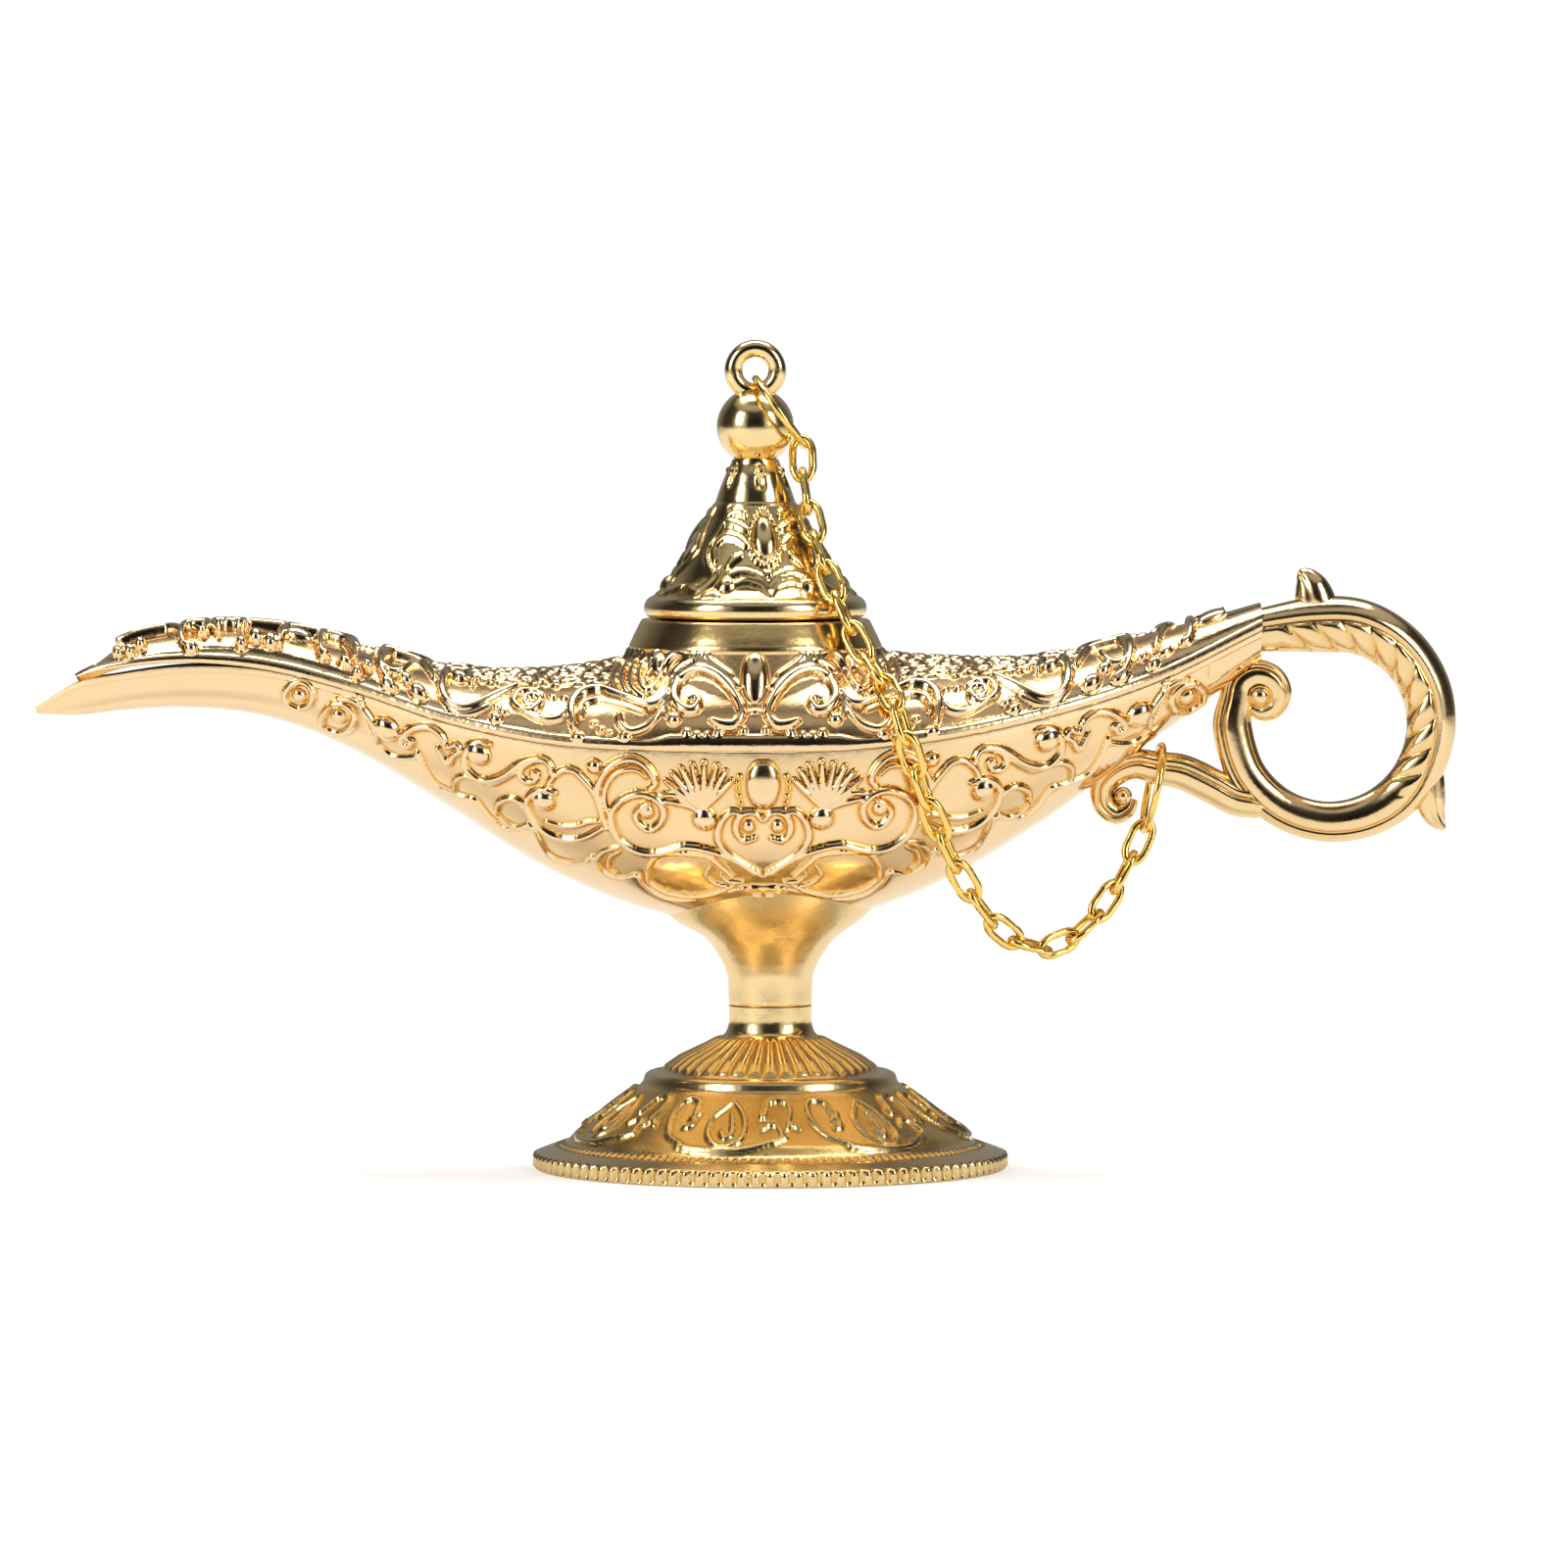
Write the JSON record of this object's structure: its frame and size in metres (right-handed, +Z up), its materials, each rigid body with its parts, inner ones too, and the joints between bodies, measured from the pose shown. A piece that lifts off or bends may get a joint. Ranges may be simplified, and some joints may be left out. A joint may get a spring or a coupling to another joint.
{
  "type": "genie oil lamp",
  "caption": "Footed boat-shaped oil lamp with a long wick spout, a scrolled ring handle and a conical lid held to the handle by a chain.",
  "frame": {"origin": "centre of the foot's resting face, on the foot's axis", "axes": "+X towards the handle and -X towards the spout, +Z up through the lid, -Y the side where the chain hangs"},
  "size_m": [0.2094, 0.0698, 0.1224],
  "materials": {
    "body_gold": "polished gold plate with a rose tint",
    "foot_gold": "polished gold plate, darker and warmer in the recesses",
    "handle_gold": "polished gold plate",
    "lid_gold": "polished gold plate",
    "chain_gold": "bright yellow gold plate",
    "steel": "plain zinc-plated steel"
  },
  "bodies": {
    "lamp": {"foot": "foot_gold", "foot_washer": "steel", "foot_screw": "steel", "lower_body": "body_gold", "upper_body": "body_gold", "handle": "handle_gold", "handle_pin": "steel"},
    "top_ring": {"top_ring": "chain_gold"},
    "lid": {"lid": "lid_gold"},
    "link_01": {"link_01": "chain_gold"},
    "link_02": {"link_02": "chain_gold"},
    "link_03": {"link_03": "chain_gold"},
    "link_04": {"link_04": "chain_gold"},
    "link_05": {"link_05": "chain_gold"},
    "link_06": {"link_06": "chain_gold"},
    "link_07": {"link_07": "chain_gold"},
    "link_08": {"link_08": "chain_gold"},
    "link_09": {"link_09": "chain_gold"},
    "link_10": {"link_10": "chain_gold"},
    "link_11": {"link_11": "chain_gold"},
    "link_12": {"link_12": "chain_gold"},
    "link_13": {"link_13": "chain_gold"},
    "link_14": {"link_14": "chain_gold"},
    "link_15": {"link_15": "chain_gold"},
    "link_16": {"link_16": "chain_gold"},
    "link_17": {"link_17": "chain_gold"},
    "link_18": {"link_18": "chain_gold"},
    "link_19": {"link_19": "chain_gold"},
    "link_20": {"link_20": "chain_gold"},
    "link_21": {"link_21": "chain_gold"},
    "link_22": {"link_22": "chain_gold"},
    "link_23": {"link_23": "chain_gold"},
    "handle_ring": {"handle_ring": "chain_gold"}
  },
  "joints": [
    {"name": "lid_lift", "type": "slide", "parent": "lamp", "child": "top_ring", "axis": [0, 0, 1], "range_m": [0, 0.01]},
    {"name": "lid_turn", "type": "hinge", "parent": "top_ring", "child": "lid", "pos_m": [-0.0022, 0, 0.085], "axis": [0, 0, 1], "range_deg": [-20, 20]},
    {"name": "handle_ring_turn", "type": "hinge", "parent": "lamp", "child": "handle_ring", "pos_m": [0.05772, 0, 0.06239], "axis": [-0.8821, 0.4042, 0.2421], "range_deg": [-1, 5]},
    {"name": "link_01_turn", "type": "hinge", "parent": "top_ring", "child": "link_01", "pos_m": [0.00471, -0.00103, 0.10724], "axis": [0.977, -0.0059, 0.213], "range_deg": [-1, 10]},
    {"name": "link_02_turn", "type": "hinge", "parent": "link_01", "child": "link_02", "pos_m": [0.00487, -0.00312, 0.10248], "axis": [-0.3052, 0.5028, 0.8087], "range_deg": [-1, 30]},
    {"name": "link_03_turn", "type": "hinge", "parent": "link_02", "child": "link_03", "pos_m": [0.00552, -0.00546, 0.09789], "axis": [-0.9792, 0.0467, 0.1976], "range_deg": [-1, 20]},
    {"name": "link_06_turn", "type": "hinge", "parent": "lamp", "child": "link_06", "pos_m": [0.05228, 0.00951, 0.08185], "axis": [-0.723, 0.6829, 0.1044], "range_deg": [-1, 16]},
    {"name": "link_05_turn", "type": "hinge", "parent": "link_06", "child": "link_05", "pos_m": [0.00981, -0.01292, 0.0849], "axis": [0.191, -0.2641, 0.9454], "range_deg": [-1, 19]},
    {"name": "link_04_turn", "type": "hinge", "parent": "link_05", "child": "link_04", "pos_m": [0.00806, -0.01061, 0.08922], "axis": [-0.7538, 0.1184, 0.6464], "range_deg": [-1, 15]},
    {"name": "link_07_turn", "type": "hinge", "parent": "link_06", "child": "link_07", "pos_m": [0.01178, -0.01474, 0.08045], "axis": [0.6305, -0.703, 0.3289], "range_deg": [-1, 14]},
    {"name": "link_08_turn", "type": "hinge", "parent": "link_07", "child": "link_08", "pos_m": [0.014, -0.01677, 0.0762], "axis": [0.9794, 0.0385, -0.1983], "range_deg": [-1, 7]},
    {"name": "link_11_turn", "type": "hinge", "parent": "lamp", "child": "link_11", "pos_m": [0.05507, -0.00153, 0.06234], "axis": [-0.7813, 0.6159, 0.1015], "range_deg": [-1, 17]},
    {"name": "link_10_turn", "type": "hinge", "parent": "link_11", "child": "link_10", "pos_m": [0.01977, -0.02509, 0.06475], "axis": [0.7009, -0.7133, -0.0011], "range_deg": [-1, 18]},
    {"name": "link_09_turn", "type": "hinge", "parent": "link_10", "child": "link_09", "pos_m": [0.01843, -0.0233, 0.06945], "axis": [0.8799, 0.4414, 0.176], "range_deg": [-1, 8]},
    {"name": "link_12_turn", "type": "hinge", "parent": "link_11", "child": "link_12", "pos_m": [0.02126, -0.02435, 0.05982], "axis": [0.5852, -0.508, -0.6321], "range_deg": [-1, 8]},
    {"name": "link_13_turn", "type": "hinge", "parent": "link_12", "child": "link_13", "pos_m": [0.02303, -0.02325, 0.05506], "axis": [0.8652, -0.4993, 0.0458], "range_deg": [-1, 8]},
    {"name": "link_16_turn", "type": "hinge", "parent": "lamp", "child": "link_16", "pos_m": [0.05891, -0.00228, 0.05414], "axis": [-0.7189, 0.6629, 0.2089], "range_deg": [-1, 17]},
    {"name": "link_15_turn", "type": "hinge", "parent": "link_16", "child": "link_15", "pos_m": [0.02958, -0.0192, 0.04152], "axis": [-0.414, -0.1463, -0.8984], "range_deg": [-1, 9]},
    {"name": "link_14_turn", "type": "hinge", "parent": "link_15", "child": "link_14", "pos_m": [0.02713, -0.02072, 0.04585], "axis": [0.8828, -0.4691, -0.0263], "range_deg": [-1, 11]},
    {"name": "link_17_turn", "type": "hinge", "parent": "link_16", "child": "link_17", "pos_m": [0.03247, -0.01741, 0.03759], "axis": [0.4456, 0.7407, 0.5028], "range_deg": [-1, 3]},
    {"name": "link_18_turn", "type": "hinge", "parent": "link_17", "child": "link_18", "pos_m": [0.03601, -0.01522, 0.03447], "axis": [-0.7342, 0.0666, 0.6757], "range_deg": [-1, 2]},
    {"name": "link_20_turn", "type": "hinge", "parent": "lamp", "child": "link_20", "pos_m": [0.06043, -0.00579, 0.05286], "axis": [-0.698, 0.6891, 0.1948], "range_deg": [-1, 18]},
    {"name": "link_19_turn", "type": "hinge", "parent": "link_20", "child": "link_19", "pos_m": [0.04455, -0.00993, 0.03465], "axis": [-0.1408, 0.3592, 0.9226], "range_deg": [-1, 2]},
    {"name": "link_21_turn", "type": "hinge", "parent": "link_20", "child": "link_21", "pos_m": [0.04803, -0.00778, 0.03785], "axis": [-0.4297, 0.899, 0.0848], "range_deg": [-1, 4]},
    {"name": "link_23_turn", "type": "hinge", "parent": "handle_ring", "child": "link_23", "pos_m": [0.05545, -0.00318, 0.05072], "axis": [-0.582, 0.7825, 0.2215], "range_deg": [-1, 13]},
    {"name": "link_22_turn", "type": "hinge", "parent": "link_23", "child": "link_22", "pos_m": [0.05331, -0.00451, 0.04617], "axis": [-0.5381, 0.8429, -0.0002], "range_deg": [-1, 7]}
  ],
  "couplings": [
    {"joint": "handle_ring_turn", "follows": "lid_lift", "rad_per_m": 5.9583},
    {"joint": "link_01_turn", "follows": "lid_lift", "rad_per_m": 14.454},
    {"joint": "link_02_turn", "follows": "lid_lift", "rad_per_m": 48.891},
    {"joint": "link_03_turn", "follows": "lid_lift", "rad_per_m": 31.198},
    {"joint": "link_06_turn", "follows": "lid_lift", "rad_per_m": 24.118},
    {"joint": "link_05_turn", "follows": "lid_lift", "rad_per_m": 30.049},
    {"joint": "link_04_turn", "follows": "lid_lift", "rad_per_m": 22.762},
    {"joint": "link_07_turn", "follows": "lid_lift", "rad_per_m": 21.776},
    {"joint": "link_08_turn", "follows": "lid_lift", "rad_per_m": 9.5722},
    {"joint": "link_11_turn", "follows": "lid_lift", "rad_per_m": 26.206},
    {"joint": "link_10_turn", "follows": "lid_lift", "rad_per_m": 27.683},
    {"joint": "link_09_turn", "follows": "lid_lift", "rad_per_m": 11.099},
    {"joint": "link_12_turn", "follows": "lid_lift", "rad_per_m": 11.845},
    {"joint": "link_13_turn", "follows": "lid_lift", "rad_per_m": 11.833},
    {"joint": "link_16_turn", "follows": "lid_lift", "rad_per_m": 27.166},
    {"joint": "link_15_turn", "follows": "lid_lift", "rad_per_m": 12.296},
    {"joint": "link_14_turn", "follows": "lid_lift", "rad_per_m": 17.043},
    {"joint": "link_17_turn", "follows": "lid_lift", "rad_per_m": 2.5565},
    {"joint": "link_18_turn", "follows": "lid_lift", "rad_per_m": 0.77798},
    {"joint": "link_20_turn", "follows": "lid_lift", "rad_per_m": 27.962},
    {"joint": "link_19_turn", "follows": "lid_lift", "rad_per_m": 1.5472},
    {"joint": "link_21_turn", "follows": "lid_lift", "rad_per_m": 4.5628},
    {"joint": "link_23_turn", "follows": "lid_lift", "rad_per_m": 19.514},
    {"joint": "link_22_turn", "follows": "lid_lift", "rad_per_m": 8.7157}
  ]
}
